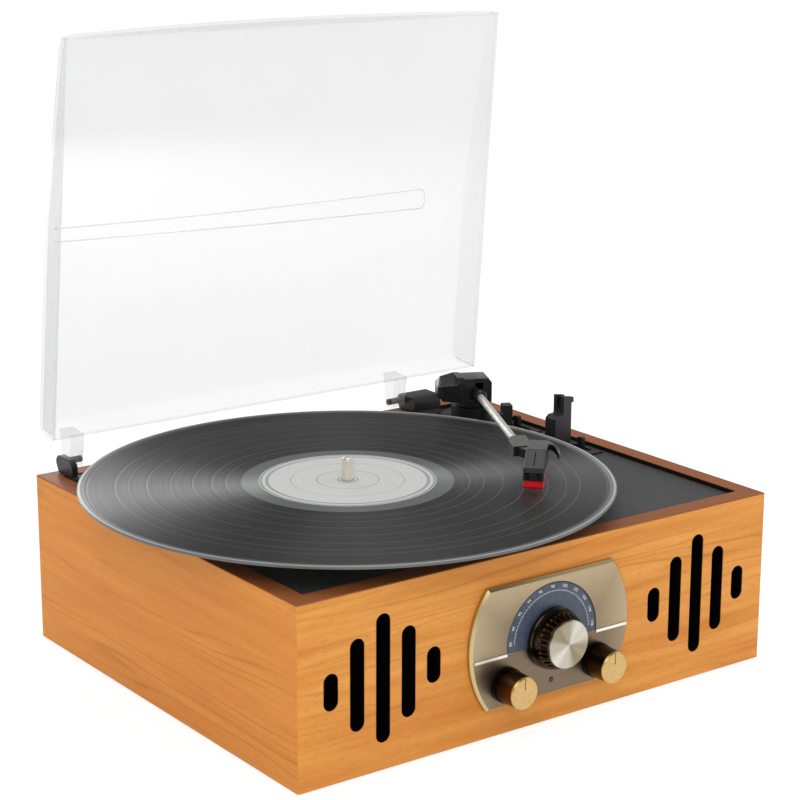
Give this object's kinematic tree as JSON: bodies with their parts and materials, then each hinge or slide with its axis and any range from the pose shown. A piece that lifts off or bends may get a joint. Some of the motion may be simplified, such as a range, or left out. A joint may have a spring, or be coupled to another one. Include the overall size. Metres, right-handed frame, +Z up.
{
  "type": "turntable",
  "caption": "Wooden record player with belt-driven platter, record, pivoted tonearm, clear hinged lid, radio dial with knobs and speakers behind slots.",
  "frame": {"origin": "centre of the cabinet's footprint, level with its lower edges; the foot pads reach 1.2 mm lower", "axes": "+X to the right as seen from the front, +Y from the dial to the back, +Z up"},
  "size_m": [0.3538, 0.3245, 0.3633],
  "materials": {
    "veneer": "satin honey cherry veneer",
    "panel_wood": "plain board and battens",
    "leatherette": "black grained covering",
    "cloth": "black woven",
    "black_plastic": "matte",
    "gloss_black": "gloss",
    "steel": "bright",
    "aged_brass": "brushed antique brass",
    "dial_blue": "slate blue print",
    "bronze": "dark bronze",
    "champagne": "spun champagne face",
    "clear": "clear, faintly frosted",
    "vinyl": "grooved black vinyl",
    "label_paper": "silver grey paper",
    "aluminium": "satin",
    "felt": "black felt",
    "rubber": "matte",
    "red_plastic": "gloss red",
    "lens_red": "dark red lens",
    "board_green": "circuit board",
    "paper_cone": "pressed paper",
    "magnet_grey": "grey",
    "motor_steel": "plated can"
  },
  "bodies": {
    "cabinet": {"front_board": "veneer", "back_board": "veneer", "left_board": "veneer", "right_board": "veneer", "base_panel": "panel_wood", "cabinet_battens": "panel_wood", "feet": "rubber", "screws": "steel", "deck_plate": "leatherette", "grille_cloths": "cloth", "speaker_frames": "magnet_grey", "speaker_cones": "paper_cone", "dial_plate": "aged_brass", "dial_scale": "dial_blue", "indicator_lens": "lens_red", "tuning_control": "black_plastic", "function_control": "black_plastic", "volume_control": "black_plastic", "amplifier_board": "board_green", "socket_plate": "black_plastic", "phono_sockets": "steel", "power_inlet": "black_plastic", "spindle_bearing": "steel", "drive_belt": "rubber", "motor": "motor_steel", "motor_bracket": "motor_steel", "arm_base": "black_plastic", "arm_rest": "black_plastic", "switch_plates": "black_plastic", "switch_bodies": "black_plastic", "hinge_bracket_left": "black_plastic", "hinge_bracket_right": "black_plastic", "hinge_pins": "steel"},
    "turntable": {"platter": "aluminium", "slip_mat": "felt", "spindle": "steel", "record": "vinyl", "record_label": "label_paper"},
    "motor_rotor": {"motor_pulley": "steel"},
    "arm_carriage": {"arm_turret": "black_plastic", "arm_housing": "gloss_black"},
    "arm": {"arm_pivot_block": "black_plastic", "arm_tube": "aluminium", "arm_collar": "black_plastic", "headshell_neck": "black_plastic", "headshell": "gloss_black", "cartridge": "black_plastic", "stylus": "red_plastic"},
    "clip": {"rest_clip": "black_plastic"},
    "tuning": {"tuning_knob": "bronze", "tuning_knob_cap": "champagne", "tuning_shaft": "steel"},
    "volume": {"volume_knob": "bronze", "volume_shaft": "steel"},
    "function": {"function_knob": "bronze", "function_shaft": "steel"},
    "speed": {"speed_lever": "black_plastic"},
    "stop": {"stop_lever": "black_plastic"},
    "lid": {"lid": "clear"}
  },
  "joints": [
    {"name": "lid_hinge", "type": "hinge", "parent": "cabinet", "child": "lid", "pos_m": [0, 0.1325, 0.1065], "axis": [1, 0, 0], "range_deg": [0, 40]},
    {"name": "platter_spin", "type": "hinge", "parent": "cabinet", "child": "turntable", "pos_m": [-0.042, -0.011, 0.1], "axis": [0, 0, 1], "continuous": true},
    {"name": "motor_spin", "type": "hinge", "parent": "cabinet", "child": "motor_rotor", "pos_m": [0.034, 0.003, 0.1], "axis": [0, 0, 1], "continuous": true},
    {"name": "arm_swing", "type": "hinge", "parent": "cabinet", "child": "arm_carriage", "pos_m": [0.1184, 0.0808, 0.124], "axis": [0, 0, 1], "range_deg": [-15.5, 29]},
    {"name": "arm_lift", "type": "hinge", "parent": "arm_carriage", "child": "arm", "pos_m": [0.1184, 0.0808, 0.124], "axis": [-0.8996, 0.4368, 0], "range_deg": [0, 12]},
    {"name": "clip_turn", "type": "hinge", "parent": "cabinet", "child": "clip", "pos_m": [0.12888, 0.00379, 0.1286], "axis": [-0.0541, 0.9985, 0], "range_deg": [-175, 0]},
    {"name": "tuning_turn", "type": "hinge", "parent": "cabinet", "child": "tuning", "pos_m": [0, -0.14, 0.0492], "axis": [0, 1, 0], "range_deg": [-150, 150]},
    {"name": "volume_turn", "type": "hinge", "parent": "cabinet", "child": "volume", "pos_m": [0.0313, -0.14, 0.0295], "axis": [0, 1, 0], "range_deg": [-150, 150]},
    {"name": "function_turn", "type": "hinge", "parent": "cabinet", "child": "function", "pos_m": [-0.0313, -0.14, 0.0295], "axis": [0, 1, 0], "range_deg": [-60, 60]},
    {"name": "speed_slide", "type": "slide", "parent": "cabinet", "child": "speed", "axis": [0, 1, 0], "range_m": [-0.006, 0.006]},
    {"name": "stop_slide", "type": "slide", "parent": "cabinet", "child": "stop", "axis": [0, 1, 0], "range_m": [-0.008, 0]}
  ],
  "couplings": [
    {"joint": "motor_spin", "follows": "platter_spin", "ratio": 13.727}
  ]
}
